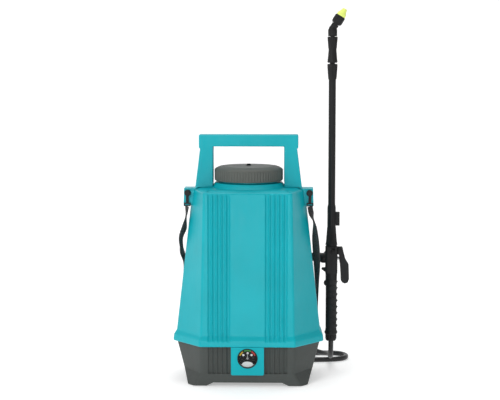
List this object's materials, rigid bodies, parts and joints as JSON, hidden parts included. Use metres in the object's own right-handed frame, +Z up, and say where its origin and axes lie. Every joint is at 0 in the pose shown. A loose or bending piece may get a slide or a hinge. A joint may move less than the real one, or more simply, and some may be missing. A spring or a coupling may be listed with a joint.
{
  "type": "backpack sprayer",
  "caption": "Battery backpack sprayer: tapered tank with handle and screw lid on a powered base, webbing straps, hose and telescopic trigger lance.",
  "frame": {"origin": "on the floor, under the middle of tank and hanging lance together, hose left out", "axes": "+Z up along the tank and the lance; +Y towards the wearer's back, away from the gauge; +X towards the lance"},
  "size_m": [0.3089, 0.3004, 0.6426],
  "materials": {
    "turquoise": "satin moulded polyethylene",
    "grey_plastic": "fine-grained moulded plastic",
    "lid_grey": "satin moulded plastic",
    "black_plastic": "satin black nylon",
    "black_rubber": "matt rubber",
    "hose_pvc": "semi-gloss black hose",
    "webbing": "woven polypropylene webbing",
    "gauge_dial": "printed dial",
    "needle": "painted pointer",
    "clear": "clear lens",
    "steel": "zinc-plated",
    "nozzle_yellow": "bright moulded plastic",
    "battery_case": "moulded case",
    "white_plastic": "moulded strainer"
  },
  "bodies": {
    "sprayer": {"tank": "turquoise", "handle": "turquoise", "base_tub": "grey_plastic", "base_screws": "steel", "rubber_feet": "black_rubber", "control_panel": "turquoise", "gauge_housing": "black_plastic", "gauge_face": "gauge_dial", "gauge_lens": "clear", "switch_housing": "black_plastic", "charge_socket": "black_plastic", "cap_hinge": "black_plastic", "battery_pack": "battery_case", "battery_clamp": "steel", "pump_motor": "steel", "pump_head": "black_plastic", "pump_mounts": "black_rubber", "tank_outlet": "black_plastic", "suction_hose": "hose_pvc", "delivery_hose": "hose_pvc", "outlet_fitting": "black_plastic", "outlet_nut": "black_plastic", "filler_strainer": "white_plastic", "strap_left": "webbing", "strap_right": "webbing", "strap_adjusters": "black_plastic", "strap_buttons": "black_plastic", "strap_links": "black_plastic", "strap_anchors": "black_plastic", "lance_holder": "black_plastic", "hose_lead": "hose_pvc", "hose_riser": "hose_pvc"},
    "lid_seal": {"lid_gasket": "black_rubber"},
    "lid": {"lid_shell": "lid_grey", "lid_vent": "black_rubber"},
    "needle": {"gauge_needle": "needle"},
    "rocker": {"switch_rocker": "black_rubber"},
    "socket_flap": {"charge_cap": "black_rubber"},
    "lance": {"grip_body": "black_plastic", "grip_nut": "black_plastic", "valve_cap": "black_plastic", "valve_spring": "steel", "trigger_pin": "steel", "union_nut": "black_plastic", "outer_tube": "black_plastic", "tube_clip": "black_plastic"},
    "trigger": {"trigger_lever": "black_plastic"},
    "trigger_catch": {"trigger_lock": "black_plastic"},
    "stem": {"valve_stem": "black_plastic"},
    "tube_lock": {"lock_nut": "black_plastic"},
    "inner_lance": {"inner_tube": "black_plastic", "tube_coupling": "black_plastic"},
    "head": {"elbow": "black_plastic"},
    "nozzle": {"nozzle_nut": "black_plastic", "nozzle_tip": "nozzle_yellow"}
  },
  "joints": [
    {"name": "lid_lift", "type": "slide", "parent": "sprayer", "child": "lid_seal", "axis": [0, 0, 1], "range_m": [0, 0.014]},
    {"name": "lid_turn", "type": "hinge", "parent": "lid_seal", "child": "lid", "pos_m": [-0.0246, -0.007, 0.35], "axis": [0, 0, 1], "range_deg": [0, 720]},
    {"name": "gauge_needle_swing", "type": "hinge", "parent": "sprayer", "child": "needle", "pos_m": [-0.0246, -0.0861, 0.04991], "axis": [0, -0.9981, -0.0609], "range_deg": [-60, 60]},
    {"name": "switch_rock", "type": "hinge", "parent": "sprayer", "child": "rocker", "pos_m": [-0.0746, 0.073, 0.042], "axis": [1, 0, 0], "range_deg": [-8, 8]},
    {"name": "socket_flap_swing", "type": "hinge", "parent": "sprayer", "child": "socket_flap", "pos_m": [-0.0386, 0.0784, 0.0526], "axis": [1, 0, 0], "range_deg": [0, 140]},
    {"name": "lance_lift_out", "type": "slide", "parent": "sprayer", "child": "lance", "axis": [0, 0, 1], "range_m": [0, 0.06]},
    {"name": "trigger_pull", "type": "hinge", "parent": "lance", "child": "trigger", "pos_m": [0.1354, 0.053, 0.215], "axis": [0, 1, 0], "range_deg": [0, 4.5], "stiffness_Nm_per_rad": 0.6, "springref_deg": -14.32},
    {"name": "stem_press", "type": "slide", "parent": "lance", "child": "stem", "axis": [1, 0, 0], "range_m": [-0.0012, 0], "deforming": ["valve_spring"]},
    {"name": "trigger_lock_slide", "type": "slide", "parent": "lance", "child": "trigger_catch", "axis": [0, 0, 1], "range_m": [0, 0.004]},
    {"name": "lock_nut_turn", "type": "hinge", "parent": "lance", "child": "tube_lock", "pos_m": [0.1204, 0.053, 0.53], "axis": [0, 0, 1], "range_deg": [-90, 0]},
    {"name": "lance_extend", "type": "slide", "parent": "lance", "child": "inner_lance", "axis": [0, 0, 1], "range_m": [0, 0.2]},
    {"name": "head_swivel", "type": "hinge", "parent": "inner_lance", "child": "head", "pos_m": [0.1204, 0.053, 0.6], "axis": [0, 0, 1], "continuous": true},
    {"name": "nozzle_turn", "type": "hinge", "parent": "head", "child": "nozzle", "pos_m": [0.1204, 0.053, 0.606], "axis": [0.5299, 0, 0.848], "range_deg": [0, 540]}
  ],
  "couplings": [
    {"joint": "lid_lift", "follows": "lid_turn", "m_per_rad": 0.0011141},
    {"joint": "stem_press", "follows": "trigger_pull", "m_per_rad": -0.0135}
  ]
}
